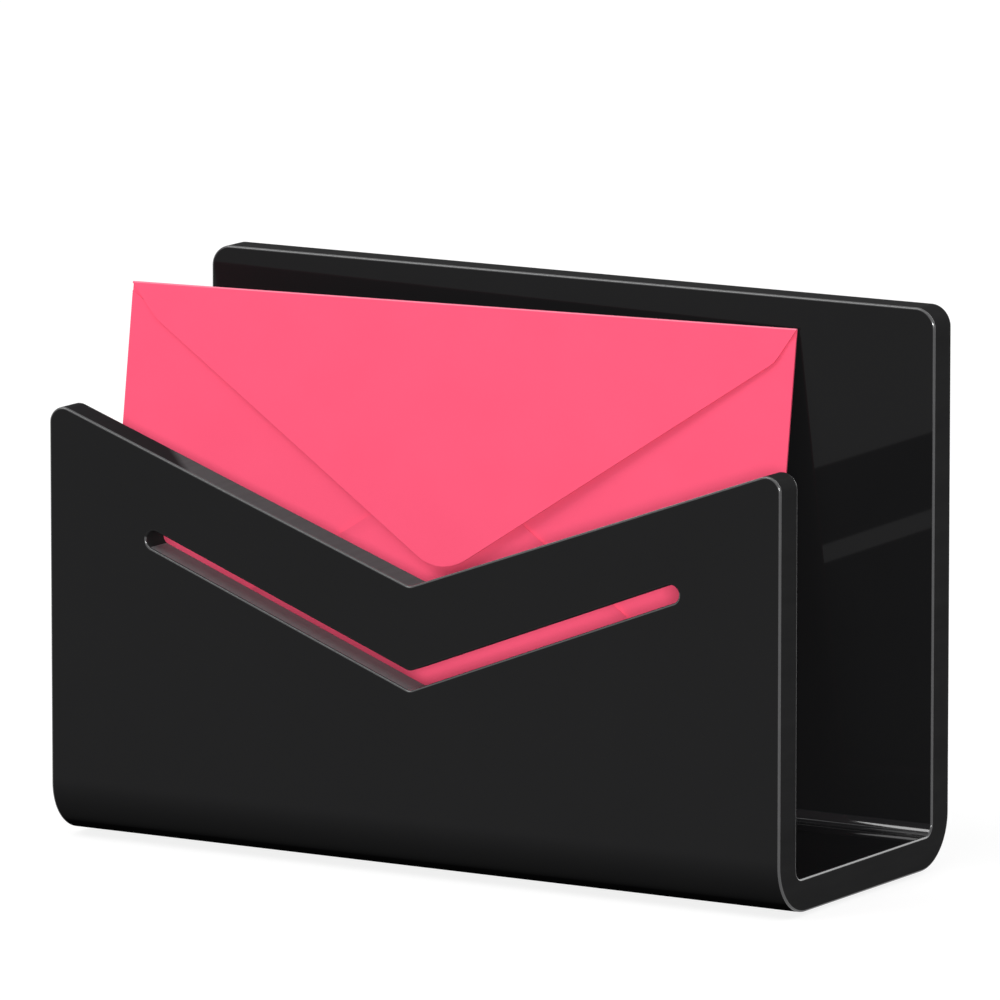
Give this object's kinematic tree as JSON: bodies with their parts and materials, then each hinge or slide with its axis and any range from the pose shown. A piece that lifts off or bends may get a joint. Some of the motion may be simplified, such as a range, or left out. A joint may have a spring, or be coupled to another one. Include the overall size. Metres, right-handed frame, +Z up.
{
  "type": "letter holder with envelope",
  "caption": "Upright letter holder bent from thick gloss black acrylic, with a vee notch and a chevron slot in the front wall, and a pink envelope standing in it.",
  "frame": {"origin": "on the table, under the middle of the holder's floor; the floor's underside is 1.2 mm above it, on the bumpers", "axes": "+Z up, +X along the holder from its left end to its right end, +Y from the low front wall to the tall back wall"},
  "size_m": [0.2487, 0.0944, 0.1582],
  "materials": {
    "black_acrylic": "gloss",
    "clear_bumper": "satin",
    "pink_paper": "matte"
  },
  "bodies": {
    "holder": {"holder": "black_acrylic", "bumper_front_left": "clear_bumper", "bumper_front_right": "clear_bumper", "bumper_back_left": "clear_bumper", "bumper_back_right": "clear_bumper"},
    "envelope": {"address_panel": "pink_paper", "side_flap_left": "pink_paper", "side_flap_right": "pink_paper", "bottom_flap": "pink_paper"},
    "flap": {"top_flap": "pink_paper"}
  },
  "joints": [
    {"name": "envelope_lift", "type": "slide", "parent": "holder", "child": "envelope", "axis": [0, 0, 1], "range_m": [0, 0.15]},
    {"name": "flap_hinge", "type": "hinge", "parent": "envelope", "child": "flap", "pos_m": [-0.0279, 0.02594, 0.14913], "axis": [-0.9949, -0.1011, 0], "range_deg": [0, 165]}
  ]
}
